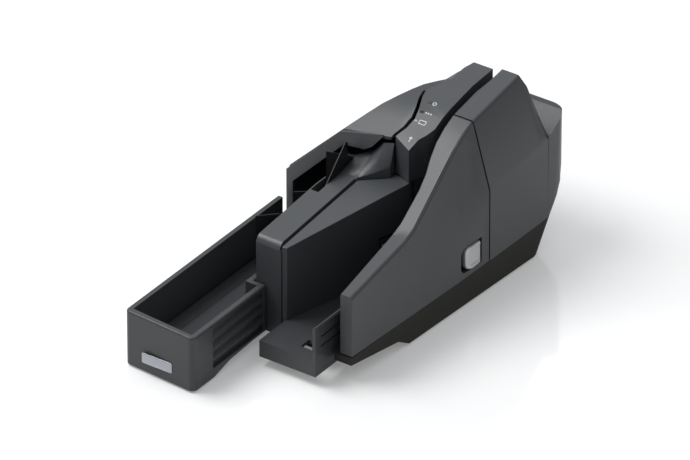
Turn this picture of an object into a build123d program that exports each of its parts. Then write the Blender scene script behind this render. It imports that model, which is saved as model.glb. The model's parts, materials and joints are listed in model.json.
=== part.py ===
from build123d import *
import os
from math import atan2, cos, degrees, hypot, radians, sin

os.makedirs("parts", exist_ok=True)

# Desk-top cheque scanner. Millimetres. X runs to the right, Y to the rear, Z up.
# Sizes are laid out from the left front corner of the output pocket at floor level;
# every piece is then shifted so that the origin is the centre of the footprint.

# ---------------------------------------------------------------- shared sizes
floor_gap = 1.5           # the rubber feet lift the casing by this much
wall = 2.5                # moulded casing wall
seam_gap = 1.5            # open seam beside a moving cover
rest_gap = 0.3            # clearance between pieces that only rest near each other
running = 0.05            # clearance of a shaft in its bore

# ---------------------------------------------------------------- depth, from front to rear
block_front = 93.0
block_length = 124.5
block_rear = block_front + block_length
entry_y = block_rear + 22.5
head_y = entry_y + 9.4
head_length = 5.0
sensor_y = head_y + head_length + 1.6
sensor_length = 12.0
scan_y = sensor_y + sensor_length + 17.0
turn_center_y = scan_y + 15.0
exit_y = turn_center_y - 4.0
tower_rear = turn_center_y + 12.0
valley = tower_rear + 17.0
rim = valley + 21.0
body_rear = rim + 8.0
cover_seam = sensor_y - 6.0
ramp_end = cover_seam - 25.0
ramp_start = ramp_end - 35.0
lower_kink = ramp_start - 32.0
cover_front = lower_kink - 78.0
slab_front = cover_front - 1.0
base_front = lower_kink - 10.0
platform_front = block_front + 7.0

# ---------------------------------------------------------------- width, from left to right
body_left = 2.0
block_left = 58.3
block_width = 23.7
block_right = block_left + block_width
island_left = 93.0
island_width = 36.0
strip_nose = island_left + 9.0
island_right = island_left + island_width
slot_width = 5.5
slot_right = island_right + slot_width
cover_inner_ramp = slot_right + 1.5
tower_inner_rear = slot_right + 3.5
cover_inner_kink = slot_right + 9.5
cover_inner_front = slot_right + 12.5
top_edge_seam = slot_right + 18.5
top_edge_rear = slot_right + 20.5
side_front = cover_inner_front + 11.0
side_kink = side_front + 7.0
side_seam = side_front + 11.5
body_right = side_front + 15.0
rear_right_radius = 18.0
rear_left_radius = 40.0

# ---------------------------------------------------------------- heights of the top strips
front_height = 76.0
kink_height = front_height + 16.0
ramp_start_height = kink_height + 21.0
ramp_end_height = ramp_start_height + 23.0
seam_height = ramp_end_height + 11.5
body_top = seam_height + 12.5
rim_height = 115.0
valley_height = rim_height - 11.5
crease_seam_height = 90.0
crease_rear_height = 101.0

# ---------------------------------------------------------------- base case
slab_underside = 14.8
slab_left = 118.0
base_seam_front = 21.5
base_seam_rear = 28.4
tuck_depth = 34.3         # how far the foot of the rear wall stands in from its top
platform_top = 8.0
platform_right = slot_right + 7.5
foot_radius = 7.0
post_radius = 3.2

# ---------------------------------------------------------------- paper path
path_floor = 23.0
deck_thickness = 3.0
guide_thickness = 2.5
block_ramp_height = 99.0
guide_top = block_ramp_height + 0.5
island_front = block_rear + 1.5
island_front_left = block_left - 0.8
island_bend = scan_y - 28.0

# ---------------------------------------------------------------- output pocket
pocket_width = 68.8
pocket_slant = 5.0
pocket_height = 50.0
pocket_wall = 5.0
pocket_floor = 12.0
pocket_neck = block_front - 1.0
pocket_rear = block_rear - 13.5
pocket_foot = 22.0
pocket_underside = 8.3
louvre_front = 21.0
louvre_low = 10.0
louvre_high = pocket_height - 3.0
louvre_depth = 3.0
louvre_pitch = 9.5
louvre_thickness = 1.6
louvre_count = 4
badge_length = 28.0
badge_height = 8.5
badge_thickness = 0.8
badge_offset = 28.5
badge_level = 11.7

# ---------------------------------------------------------------- central block and feeder
block_nose_height = 90.0
block_ramp_start = block_rear - 21.5
throat_rear = block_rear + 7.5
nose_radius = 7.0
groove_floor = 84.0
hopper_left_front = block_right + 5.0
hopper_left_rear = island_right - 10.0
hopper_neck = block_rear - 6.5
notch_front = block_rear - 52.5
notch_rear = block_rear - 2.5
notch_depth = 8.2
notch_floor = 60.0
notch_rim = 1.2
rim_wall_height = block_ramp_height - 2.0
film = 0.8
hood_front = block_rear - 5.5
tray_front = block_front - 35.0
tray_left = block_right + 4.0
tray_right = slot_right + 4.5
tray_wall = 3.0
tray_wall_height = 52.0
tray_underside = 8.3


def upright(outline, low, high):
    """Upright solid over a plan outline."""
    return Pos(0, 0, low) * extrude(outline, amount=high - low, dir=(0, 0, 1))


def prism_z(points, low, high):
    """Upright prism over a list of plan points."""
    return upright(Polygon(*points, align=None), low, high)


def prism_x(points, low, high):
    """Prism along X over an outline of (y, z) points."""
    outline = Plane.YZ.offset(low) * Polygon(*points, align=None)
    return extrude(outline, amount=high - low, dir=(1, 0, 0))


def prism_y(points, low, high):
    """Prism along Y over an outline of (x, z) points."""
    outline = Plane.XZ.offset(-low) * Polygon(*points, align=None)
    return extrude(outline, amount=high - low, dir=(0, 1, 0))


def block(low, high):
    """Box between two opposite corners."""
    size = [high[i] - low[i] for i in range(3)]
    centre = [(high[i] + low[i]) / 2 for i in range(3)]
    return Pos(*centre) * Box(*size)


def pole(x, y, radius, low, high):
    """Upright round bar."""
    return Pos(x, y, (low + high) / 2) * Cylinder(radius, high - low)


def seam_level(y):
    """Height of the line where the covers meet the base case."""
    share = (y - slab_front) / (body_rear - slab_front)
    return base_seam_front + share * (base_seam_rear - base_seam_front)


# ---------------------------------------------------------------- casing sections
cover_bottom_gap = 0.8
edge_radius = 3.0

# y, inner wall, top edge, top height, crease x, crease height, side wall
RIGHT_STATIONS = [
    (cover_front, cover_inner_front, side_front, front_height, side_front, 30.0, side_front),
    (lower_kink, cover_inner_kink, side_front, kink_height, side_kink - 0.4, 32.0, side_kink),
    (ramp_start, cover_inner_kink, side_front - 1.5, ramp_start_height, side_kink + 1.4, 50.0, side_kink + 1.6),
    (ramp_end, cover_inner_ramp, top_edge_seam + 1.5, ramp_end_height, side_kink + 3.2, 72.0, side_kink + 3.4),
    (cover_seam, slot_right, top_edge_seam, seam_height, side_seam - 0.2, crease_seam_height, side_seam),
    (scan_y, slot_right + 0.5, top_edge_seam + 1.1, seam_height + 7.0, body_right - 1.6, 96.0, body_right - 1.4),
    (turn_center_y, tower_inner_rear - 0.4, top_edge_rear - 0.3, body_top - 2.5, body_right - 0.7, 99.0,
     body_right - 0.5),
    (tower_rear, tower_inner_rear, top_edge_rear, body_top, body_right - 0.2, crease_rear_height, body_right),
    (valley, tower_inner_rear, body_right - 4.0, valley_height, body_right - 0.2, valley_height - 2.5, body_right),
]


def station_slope(stations, index, column):
    """Slope at a station: level at a turn or an end, else the harmonic mean of both sides."""
    if index == 0 or index == len(stations) - 1:
        near = stations[1] if index == 0 else stations[-2]
        here = stations[index]
        return (near[column] - here[column]) / (near[0] - here[0])
    before, here, after = stations[index - 1:index + 2]
    first = (here[column] - before[column]) / (here[0] - before[0])
    second = (after[column] - here[column]) / (after[0] - here[0])
    return 2 * first * second / (first + second) if first * second > 0 else 0.0


def blend(stations, y):
    """Section values at any place, on a smooth curve through the stations that never overshoots."""
    for index, (first, second) in enumerate(zip(stations, stations[1:])):
        if first[0] <= y <= second[0]:
            span = second[0] - first[0]
            t = (y - first[0]) / span
            values = []
            for column in range(len(first)):
                start = station_slope(stations, index, column) * span
                end = station_slope(stations, index + 1, column) * span
                a, b = first[column], second[column]
                values.append(
                    (2 * t**3 - 3 * t**2 + 1) * a + (t**3 - 2 * t**2 + t) * start
                    + (3 * t**2 - 2 * t**3) * b + (t**3 - t**2) * end
                )
            return values
    raise ValueError(y)


def top_level(y):
    """Height of the top strips at a place along the depth."""
    return blend(RIGHT_STATIONS, y)[3]


def rounded(points, radii, y):
    """Upright cross-section whose corners are rounded by their own radii."""
    outline = Polygon(*points, align=None)
    for (x, z), radius in zip(points, radii):
        if radius > 0:
            outline = fillet(outline.vertices().sort_by_distance((x, z, 0))[0], radius)
    return Plane.XZ.offset(-y) * outline


def right_section(y, inset, bottom):
    """Cross-section of the right casing; a positive inset gives the inside of its walls."""
    _, inner, edge, top, crease, crease_z, side = blend(RIGHT_STATIONS, y)
    points = [
        (inner + inset, bottom), (inner + inset, top - inset), (edge - 0.8 * inset, top - inset),
        (crease - inset, crease_z - 0.3 * inset), (side - inset, bottom),
    ]
    radii = (0.0, 1.2, edge_radius, 0.0, 0.0) if inset == 0 else (0.0, 0.0, 0.0, 0.0, 0.0)
    return rounded(points, radii, y)


def places_between(start, end, count):
    """Evenly spaced places along the depth, both ends included."""
    return [start + (end - start) * index / count for index in range(count + 1)]


def right_form(places, inset, lift):
    """Ruled skin through the right casing's sections."""
    sections = [right_section(y, inset, seam_level(y) + lift) for y in places]
    return loft(sections, ruled=True)


def plan_outline(rear, inset):
    """Outline of the casing seen from above, with its rear wall at a given place."""
    points = [
        (body_left, platform_front), (slab_left, platform_front), (slab_left, slab_front),
        (side_front, slab_front), (side_kink - 0.5, base_front), (body_right, turn_center_y),
        (body_right, rear), (body_left, rear),
    ]
    outline = Polygon(*points, align=None)
    rear_right = outline.vertices().sort_by_distance((body_right, rear, 0))[0]
    outline = fillet(rear_right, rear_right_radius)
    rear_left = outline.vertices().sort_by_distance((body_left, rear, 0))[0]
    outline = fillet(rear_left, rear_left_radius)
    return offset(outline, -inset, kind=Kind.INTERSECTION) if inset else outline


# rear wall: height and depth of each bend
REAR_BENDS = [
    (0.0, body_rear - tuck_depth), (base_seam_rear, body_rear - 14.8), (41.0, body_rear - 5.6),
    (52.0, body_rear - 1.3), (64.0, body_rear),
]


def casing_prism(inset):
    """Casing outline carried up; its rounded rear end tucks in towards the floor."""
    sections = [Pos(0, 0, z) * plan_outline(rear, inset) for z, rear in REAR_BENDS]
    lower = loft(sections, ruled=True)
    top = REAR_BENDS[-1][0]
    return lower + upright(plan_outline(body_rear, inset), top, 200.0)


# ---------------------------------------------------------------- base case
deck_bottom = path_floor - deck_thickness
board_level = 8.0
board_left = 18.0
board_front = entry_y - 10.0
board_size = 76.0
lamp_places = [entry_y - 5.0, entry_y + 3.5, entry_y + 14.0]
lamp_x = island_left + 17.0
hinge_x = cover_inner_front + 4.5
hinge_y = cover_front + 7.0
hinge_pin_radius = 2.0
screw_places = [
    (14.0, block_rear + 10.5), (22.0, exit_y + 14.0), (side_front, block_rear + 10.5), (side_front, tower_rear + 4.0),
]
socket_face = valley - 4.0
inlet_x = 38.0
data_socket_x = 62.0


def seam_prism(lift, low_x, high_x):
    """Everything below the seam line between covers and base, raised by a given lift."""
    points = [
        (0.0, -1.0), (body_rear + 5, -1.0), (body_rear + 5, seam_level(body_rear + 5) + lift),
        (0.0, seam_level(0.0) + lift),
    ]
    return prism_x(points, low_x, high_x)


def base_case():
    """Dark lower case: pan with posts, low platform, slab under the right cover."""
    under = prism_x([
        (slab_front, slab_underside), (base_front - 13.0, 9.3), (base_front, floor_gap), (body_rear, floor_gap),
        (body_rear, 60.0), (slab_front, 60.0),
    ], body_left, body_right)
    shell = casing_prism(0.0) & under & seam_prism(0.0, 0.0, 200.0)
    inside = casing_prism(wall) & block((0, base_front + wall, 4.0), (200, 400, 60))
    shell -= inside & block((platform_right + wall, 0, 0), (200, 400, 60))
    shell -= inside & block((0, block_rear + wall, 0), (200, 400, 60))
    shell -= block((-1, 0, platform_top), (platform_right, block_rear, 60))
    shell -= block((body_left + wall, block_rear - 1, deck_bottom),
                   (platform_right + wall, block_rear + wall + 1, 60))
    shell += block((body_left, platform_front, floor_gap), (platform_right, block_rear, platform_top))
    for x, y in screw_places:
        post = pole(x, y, post_radius, floor_gap + 1, deck_bottom) - pole(x, y, 1.6, 9.0, 60.0)
        shell += post
    for x in (board_left + 6.0, board_left + board_size - 6.0):
        for y in (board_front + 6.0, board_front + board_size - 6.0):
            shell += pole(x, y, 2.5, 3.0, board_level)
    shell -= pole(hinge_x, hinge_y, hinge_pin_radius, 17.0, 60.0)
    for x, width in ((inlet_x, 13.0), (data_socket_x, 14.0)):
        shell -= block((x - width / 2, socket_face - 15.0, 7.0), (x + width / 2, body_rear, 19.0))
    return shell - belt_room()


def rubber_feet():
    """Round pads that the scanner stands on."""
    places = [
        (18.0, platform_front + 12.0), (island_right, platform_front + 12.0), (18.0, turn_center_y),
        (side_front - 3.0, lower_kink + 10.0), (side_front - 3.0, turn_center_y + 4.0), (12.0, 9.0),
        (pocket_width - 12.0, 6.0),
    ]
    return Compound([pole(x, y, foot_radius, 0.0, floor_gap) for x, y in places])


# ---------------------------------------------------------------- output pocket
def pocket_plan(inset):
    """Pocket outline seen from above: wide in front, narrow beside the central block."""
    neck_right = block_left - 0.8
    points = [
        (inset, inset), (pocket_width - inset, inset - pocket_slant), (pocket_width - inset, pocket_neck - inset),
        (neck_right - inset, pocket_neck - inset), (neck_right - inset, pocket_rear + inset),
        (inset, pocket_rear + inset),
    ]
    return points


def pocket_tray():
    """Open tray for scanned sheets with a louvred right side."""
    outer = Polygon(*pocket_plan(0.0), align=None)
    corners = outer.vertices().sort_by(Axis.Y)[:2]
    outer = upright(fillet(corners, 5.0), 0.0, pocket_height)
    outer &= prism_x([
        (-10.0, floor_gap), (pocket_foot, floor_gap), (43.0, 6.5), (73.0, pocket_underside),
        (pocket_rear, pocket_underside), (pocket_rear, pocket_height), (-10.0, pocket_height),
    ], -1.0, 80.0)
    front_rim = outer.faces().sort_by(Axis.Z)[-1].edges().filter_by(lambda e: e.center().Y < pocket_rear - 1)
    outer = fillet(front_rim, 1.8)
    tray = outer - prism_z(pocket_plan(pocket_wall), pocket_floor, pocket_height + 5.0)
    recess = block(
        (pocket_width - louvre_depth, louvre_front, louvre_low),
        (pocket_width + 1, pocket_neck - 4.0, louvre_high),
    )
    tray -= recess
    for index in range(louvre_count):
        low = louvre_low + louvre_pitch * (index + 0.75)
        rib = prism_y([
            (pocket_width - louvre_depth - 0.1, low), (pocket_width - louvre_depth - 0.1, low + 3.4),
            (pocket_width - 0.3, low + louvre_thickness), (pocket_width - 0.3, low),
        ], louvre_front - 0.1, pocket_neck - 3.9)
        tray += rib
    return tray


def pocket_ramp():
    """Sloping sheet that leans the stack against the left wall."""
    play = 1.2
    section = [
        (pocket_wall, pocket_floor), (pocket_width - pocket_wall, pocket_floor),
        (pocket_width - pocket_wall, 44.0), (pocket_width - pocket_wall - 4.0, 44.0), (18.0, 15.0),
        (pocket_wall + 4, 14.5), (pocket_wall, 14.5),
    ]
    under = [
        (22.0, pocket_floor - 1), (pocket_width - pocket_wall - 4.0, pocket_floor - 1),
        (pocket_width - pocket_wall - 4.0, 40.0), (24.0, 13.4),
    ]
    solid = prism_y(section, -5.0, pocket_rear) - prism_y(under, -5.0, pocket_rear)
    return solid & prism_z(pocket_plan(pocket_wall + play), pocket_floor, pocket_height)


def blank_badge():
    """Bare plate on the slanted front of the pocket."""
    angle = degrees(atan2(pocket_slant, pocket_width))
    y_face = -badge_offset * pocket_slant / pocket_width
    plate = Box(badge_length, badge_thickness, badge_height)
    plate = fillet(plate.edges().filter_by(Axis.Y), 0.8)
    seat = Pos(badge_offset, y_face - badge_thickness / 2 - 0.02, badge_level)
    return seat * Rot(0, 0, -angle) * plate


# ---------------------------------------------------------------- central block
def skin(first, second):
    """Ruled solid between two outlines given by their corner points."""
    return loft([Face(Wire.make_polygon(points, close=True)) for points in (first, second)], ruled=True)


def block_under_roof(drop):
    """Everything under the central block's top face, lowered by a given amount."""
    slope = (block_ramp_height - block_nose_height) / (block_ramp_start - block_front)
    low, high = block_left - 5.0, strip_nose + 5.0
    level = block_ramp_height - drop
    front = prism_x([
        (block_front - 1, 0.0), (block_ramp_start, 0.0), (block_ramp_start, level),
        (block_front - 1, block_nose_height - slope - drop),
    ], low, high)
    start, end = block_ramp_start, block_rear + 0.01
    left = skin(
        [(low, start, 0), (block_right, start, 0), (block_right, start, level), (block_left + 5.7, start, level),
         (low, start, level)],
        [(low, end, 0), (block_right, end, 0), (block_right, end, level + 14.0),
         (block_left + 5.7, end, level + 4.0), (low, end, level + 4.0)],
    )
    middle = (block_right + strip_nose) / 2
    right = skin(
        [(block_right, start, 0), (strip_nose, hood_front, 0), (strip_nose, hood_front, level + 8.0),
         (middle, (start + hood_front) / 2, level + 4.0), (block_right, start, level)],
        [(block_right, end, 0), (strip_nose, end, 0), (strip_nose, end, level + 28.0),
         (middle, end, level + 25.0), (block_right, end, level + 14.0)],
    )
    return front + left + right


def block_notch(grow):
    """Recess in the block's left side that the large flap hangs in."""
    return block((block_left - 1, notch_front - grow, notch_floor - grow),
                 (block_left + notch_depth + grow, notch_rear + grow, 200.0))


def central_block():
    """Island between the pocket and the feeder: rounded nose, side notch, ramp up to the strip."""
    plan = [
        (block_left, block_front), (block_right, block_front), (block_right, block_ramp_start),
        (strip_nose, hood_front), (strip_nose, block_rear), (block_left, block_rear),
    ]
    solid = prism_z(plan, platform_top + 0.3, body_top) & block_under_roof(0.0)
    nose = solid.edges().filter_by(Axis.X).sort_by_distance((block_right, block_front, block_nose_height))[0]
    solid = fillet(nose, nose_radius)
    hollow = offset(Polygon(*plan, align=None), -wall, kind=Kind.INTERSECTION)
    solid -= (upright(hollow, 0.0, body_top) & block_under_roof(wall)) - block_notch(wall)
    solid -= belt_room()
    rim_wall = block((block_left, notch_front, 0.0), (block_left + notch_rim, notch_front + 21.0, rim_wall_height))
    solid -= block_notch(0.0) - rim_wall
    groove = block((block_right - 1.2, block_front - 1, groove_floor), (block_right + 1, block_ramp_start - 2, 200))
    return solid - groove


def hopper_guide():
    """Slanted left wall of the feeder, beside the groove."""
    plan = [
        (block_right + 0.6, block_front + 0.5), (hopper_left_front, block_front + 0.5),
        (hopper_left_rear, hopper_neck), (hopper_left_rear, block_rear), (strip_nose + 1.0, block_rear),
        (strip_nose + 1.0, hopper_neck), (block_right + 0.6, block_ramp_start - 1.0),
    ]
    slope = (block_ramp_height - block_nose_height) / (block_ramp_start - block_front)
    side = [
        (block_front - 1, path_floor), (block_rear + 1, path_floor),
        (block_rear + 1, block_ramp_height), (block_ramp_start, block_ramp_height - 1.5),
        (block_front - 1, block_nose_height - slope - 1.5),
    ]
    solid = prism_z(plan, path_floor, body_top) & prism_x(side, block_left, slot_right)
    x, y = pickup_place()
    solid -= pole(x, y, pickup_radius + 0.7, roller_low - 2, roller_high + 2)
    return solid - pole(x, y, shaft_radius + running, 0, 70.0)


def exit_flaps():
    """Black film flaps that push each sheet towards the left wall of the pocket."""
    root = block_left - 0.35
    wall_side = block_left + notch_depth - 0.3 - film
    flaps = [prism_x([
        (notch_front + 5.0, notch_floor + 0.6), (notch_front + 5.0, block_ramp_height - 9.0),
        (notch_rear - 12.5, block_ramp_height + 23.5), (notch_rear - 9.6, block_ramp_height + 22.0),
        (notch_rear - 9.6, block_ramp_height + 10.5), (notch_rear - 2.0, block_ramp_height + 5.0),
        (notch_rear - 2.0, notch_floor + 0.6),
    ], wall_side, wall_side + film)]
    low, high = pocket_height + 0.6, block_ramp_height - 5.0
    shapes = [
        (root, block_front + 31.5, block_left - 13.3, block_front + 18.0, low, high),
        (root, notch_front - 0.5, block_left - 9.8, notch_front - 8.0, low, high),
        (wall_side - 0.3, notch_rear - 8.0, block_left - 10.3, notch_rear - 13.0, notch_floor + 0.6, high + 14.0),
    ]
    for x_root, y_root, x_free, y_free, low, high in shapes:
        slant = film / (x_root - x_free) * hypot(x_root - x_free, y_root - y_free)
        flaps.append(prism_z([
            (x_root, y_root), (x_free, y_free), (x_free, y_free + slant), (x_root, y_root + slant),
        ], low, high))
    return Compound(flaps)


def exit_hood():
    """Front of the left side: an arch over the mouth that sheets leave by."""
    left, foot, crown = body_left + 0.5, platform_top + 0.3, block_ramp_height
    outline = [
        (left, foot), (left, crown - 28.0), (block_left - 5.3, crown + 23.6), (island_left - 0.4, crown + 32.6),
        (island_left - 0.4, crown + 31.2), (block_right + 2.0, crown + 20.4), (block_right - 5.3, crown + 15.7),
        (block_left + 7.7, crown + 14.6), (block_left - 0.3, crown + 13.8), (left + 6.5, crown - 37.0),
        (left + 6.5, foot),
    ]
    arch = prism_y(outline, hood_front, block_rear - rest_gap)
    lean = prism_x([
        (hood_front - 1, 0.0), (hood_front - 1, crown + 15.0), (hood_front, crown + 18.0),
        (block_rear, crown + 36.0), (block_rear, 0.0),
    ], 0.0, slot_right)
    return arch & lean


# ---------------------------------------------------------------- feeder
def feeder_tray():
    """Open feeder: floor, skirts and the grooved right wall."""
    left = block_right + 1.0
    plan = Polygon(
        (tray_left, tray_front), (tray_right, tray_front), (tray_right, block_rear - rest_gap),
        (strip_nose + 1.0, block_rear - rest_gap), (strip_nose + 1.0, block_rear - 6.0),
        (left, block_ramp_start - 0.5), (left, block_front + 0.5), (tray_left, block_front + 0.5), align=None,
    )
    solid = upright(plan, tray_underside, path_floor)
    solid -= upright(offset(plan, -tray_wall, kind=Kind.INTERSECTION), 0.0, deck_bottom)
    solid -= belt_room()
    wall_end = block_rear - 14.0
    side_wall = block((tray_right - tray_wall, tray_front, path_floor - 1), (tray_right, wall_end, tray_wall_height))
    crest = side_wall.edges().filter_by(Axis.Y).sort_by(Axis.Z)[-2:]
    solid += chamfer(crest, 1.0)
    for level in (32.0, 40.6):
        solid -= block((tray_right - 1.2, tray_front + 8.0, level), (tray_right + 1, wall_end + 1, level + 1.7))
    hole = block((island_right - 12.0, tray_front + 11.5, 0), (island_right - 1.0, tray_front + 22.5, 60))
    x, y = pickup_place()
    solid -= hole + pole(x, y, shaft_radius + running, 0, 60.0)
    return solid - pole(paddle_x, paddle_y, paddle_pin_radius + running, 0, 60.0)


paddle_x = slot_right - 1.1
paddle_y = block_rear - 59.5
paddle_pin_radius = 1.6
paddle_length = 48.0
paddle_height = 52.0
paddle_thickness = 2.0


def pusher_paddle():
    """Swinging plate that presses the waiting sheets against the pickup roller."""
    half = paddle_thickness / 2
    top = path_floor + paddle_height
    plate = block((paddle_x - half, paddle_y, path_floor + 0.6), (paddle_x + half, paddle_y + paddle_length, top))
    corner = plate.edges().filter_by(Axis.X).sort_by_distance((paddle_x, paddle_y + paddle_length, top))[0]
    plate = fillet(corner, 14.0)
    return plate + pole(paddle_x, paddle_y, paddle_pin_radius, deck_bottom + 0.2, top)


# ---------------------------------------------------------------- island and guides
def island_plan(grow):
    """Round-ended island that the paper path runs around."""
    radius = (island_right - island_left) / 2 + grow
    centre_x = (island_right + island_left) / 2
    body = Polygon(
        (hopper_left_rear, island_front - grow), (island_right + grow, entry_y - 7.5),
        (island_right + grow, turn_center_y),
        (island_left - grow, turn_center_y), (island_left - grow, island_bend + 0.4 * grow),
        (island_front_left - grow, island_front + 0.4 * grow), (island_front_left, island_front - grow),
        align=None,
    )
    return body + Pos(centre_x, turn_center_y) * Circle(radius)


shaft_radius = 2.0
roller_low = 34.0
roller_high = 58.0
drive_radius = 8.0
pickup_radius = 9.0
pinch_radius = 6.0
bite = 2.6                # how far a roller stands into the path
pulley_radius = 6.0
pulley_low = 12.5
pulley_high = 18.5
motor_x = island_left - 41.0
motor_y = turn_center_y + 5.0
motor_radius = 17.0
motor_height = 40.0
sensor_top = guide_top - 3.5
head_top = 41.0


def pickup_place():
    """Axis of the pickup roller, set back from the slanted hopper wall."""
    run_x = hopper_left_rear - hopper_left_front
    run_y = hopper_neck - block_front
    length = hypot(run_x, run_y)
    y = hopper_neck - 21.0
    x = hopper_left_front + run_x * (y - block_front) / run_y
    back = pickup_radius - 2.0
    return x - back * run_y / length, y + back * run_x / length


def roller_places():
    """Plan position of each driven roller, by name."""
    right = island_right + bite - drive_radius
    left = island_left - bite + drive_radius
    return {"entry": (right, entry_y), "scan": (right, scan_y), "exit": (left, exit_y)}


def island_guide():
    """Inner wall of the paper path with wells for the rollers and the sensor."""
    solid = upright(island_plan(0.0), path_floor, guide_top)
    for x, y in roller_places().values():
        solid -= pole(x, y, drive_radius + 0.7, roller_low - 2, roller_high + 2)
        solid -= pole(x, y, shaft_radius + running, 0.0, 66.0)
    play = 0.2
    solid -= block((island_right - 11.0, sensor_y - play, path_floor + 1),
                   (slot_right, sensor_y + sensor_length + play, sensor_top + 1))
    solid -= block((island_right - 10.0, head_y - play, path_floor + 1),
                   (slot_right, head_y + head_length + play, head_top + 1))
    return solid


def turn_guide():
    """Outer wall of the turn and of the way out."""
    inner = island_plan(slot_width)
    outer = island_plan(slot_width + guide_thickness)
    wall_plan = outer - inner
    keep = Polygon(
        (body_right, turn_center_y), (body_right, body_rear), (0.0, body_rear), (0.0, island_front + 1.0),
        (island_front_left + 3.0, island_front + 1.0), (island_left + 8.0, island_bend),
        (island_left + 8.0, turn_center_y), align=None,
    )
    solid = upright(wall_plan & keep, path_floor, guide_top)
    x, y = exit_pinch_place()
    solid -= block((x - 12, y - 7, roller_low - 2), (x + 7, y + 7, roller_high + 2))
    wall_x = island_left - slot_width
    for low in (roller_low - 5.0, roller_high + 2.0):
        solid += block((x - 5, y - 4, low), (wall_x, y + 4, low + 3.0))
    return solid - pole(x, y, pinch_shaft_radius + running, roller_low - 6, roller_high + 6)


def exit_pinch_place():
    """Axis of the pinch roller on the way out."""
    return island_left - slot_width + bite - pinch_radius, exit_y


STRIP_LEFT = [
    (strip_nose, block_rear + 1.5), (island_left + 13.5, block_rear + 10.5), (island_left + 15.0, entry_y - 3.5),
    (island_left + 13.0, entry_y + 5.0), (island_left + 8.0, entry_y + 17.0), (island_left + 6.0, entry_y + 25.0),
    (island_left + 11.0, scan_y - 10.0), (island_left + 16.0, scan_y), (island_left + 17.5, turn_center_y),
    (island_left + 21.0, tower_rear - 3.0),
]
STRIP_RIGHT = [
    (island_right + 3.0, tower_rear - 3.0), (island_right + 2.0, turn_center_y), (island_right, scan_y),
    (island_right, entry_y - 6.0), (island_right - 3.0, block_rear + 10.5), (island_right - 7.5, block_rear + 4.5),
    (hopper_left_rear, hopper_neck + 1.5),
]


def control_panel():
    """Raised strip with the lamps, above the island."""
    plan = Polygon(*STRIP_LEFT, *STRIP_RIGHT, align=None)
    low = guide_top + 0.3
    places = places_between(hopper_neck - 1.0, tower_rear, 9)
    over = prism_x([(y, top_level(y)) for y in places] + [(tower_rear, low), (places[0], low)], island_left, slot_right)
    under = Pos(0, 0, -wall) * over
    solid = upright(plan, low, body_top) & over
    inside = offset(plan, -wall, kind=Kind.INTERSECTION)
    solid -= upright(inside, low - 1.0, body_top) & under
    for window in lamp_solids(0.05):
        solid -= window
    return solid


def lamp_solids(play):
    """Small flat windows set into the strip's sloping top."""
    windows = []
    for y in lamp_places:
        tilt = degrees(atan2(top_level(y + 1) - top_level(y), 1.0))
        body = Box(3.4 + 2 * play, 2.2 + 2 * play, 1.6)
        windows.append(Pos(lamp_x, y, top_level(y)) * Rot(tilt, 0, 0) * Pos(0, 0, -0.75) * body)
    return windows


def lamp_windows():
    """Small dark windows over the indicator lamps."""
    return Compound(lamp_solids(0.0))


# ---------------------------------------------------------------- right front cover
lever_front = ramp_end - 4.5
lever_length = 19.0
lever_rear = lever_front + lever_length
lever_low = 32.0
lever_high = 52.0
lever_pin_x = side_seam - 4.3
lever_pin_y = lever_rear - 3.5
lever_pin_radius = 1.2
recess_front = lever_front - 6.5
recess_depth = 7.5
recess_play = 1.3


def side_wall_x(y):
    """Plane of the cover's side wall at a place along the depth."""
    return blend(RIGHT_STATIONS, y)[6]


def lever_recess(grow):
    """Pocket in the cover's side that the latch lever sits in."""
    x_out = side_wall_x(lever_front)
    solid = block(
        (x_out - recess_depth - grow, recess_front - grow, lever_low - recess_play - grow),
        (x_out + 3.0, lever_rear + recess_play + grow, lever_high + recess_play + grow),
    )
    front_edges = solid.edges().filter_by(Axis.X).sort_by(Axis.Y)[:2]
    return fillet(front_edges, 6.0)


def with_pinch_seat(shell, y):
    """Cut the roller's window in the inner wall and add its two bearing plates."""
    inner_x = blend(RIGHT_STATIONS, y)[1]
    shell -= block((inner_x - 5, y - 7.2, roller_low - 2), (inner_x + 9, y + 7.2, roller_high + 2))
    for low in (roller_low - 5.0, roller_high + 2.0):
        shell += block((inner_x + 0.6, y - 4, low), (pinch_x + 5, y + 4, low + 3.0))
    return shell - pole(pinch_x, y, pinch_shaft_radius + running, roller_low - 6, roller_high + 6)


pinch_shaft_radius = 1.5
pinch_x = slot_right - bite + pinch_radius


def pinch_roller(x, y):
    """Small free roller turned with its stub shafts in one piece."""
    return pole(x, y, pinch_radius, roller_low, roller_high) + pole(
        x, y, pinch_shaft_radius, roller_low - 4.8, roller_high + 4.8
    )


def right_front_cover():
    """Hinged cover of the feeder side: outer skin, top strip, inner path wall and hinge boss."""
    ramp_places = places_between(ramp_start, ramp_end, 3)[:-1] + places_between(ramp_end, cover_seam, 2)
    outside = right_form([cover_front, *places_between(lower_kink - 30.0, ramp_start, 5)[:-1], *ramp_places],
                         0.0, cover_bottom_gap)
    inside = right_form([cover_front + wall, lower_kink, ramp_start, ramp_end, cover_seam - wall], wall, -3.0)
    shell = outside - inside
    bottom = seam_level(hinge_y) + cover_bottom_gap
    for low, high in ((bottom + 0.1, 30.0), (58.0, 68.0)):
        shell += pole(hinge_x, hinge_y, 5.5, low, high) & outside
    shell -= pole(hinge_x, hinge_y, hinge_pin_radius + running, 0.0, 68.0)
    shell += lever_recess(1.6) & outside
    shell -= lever_recess(0.0)
    shell -= pole(lever_pin_x, lever_pin_y, lever_pin_radius, lever_low - 2.4, lever_high + 2.4)
    return with_pinch_seat(shell, entry_y)


def cover_hinge_pin():
    """Fixed pin that the right cover turns on."""
    return pole(hinge_x, hinge_y, hinge_pin_radius, 17.0, 67.0)


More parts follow.
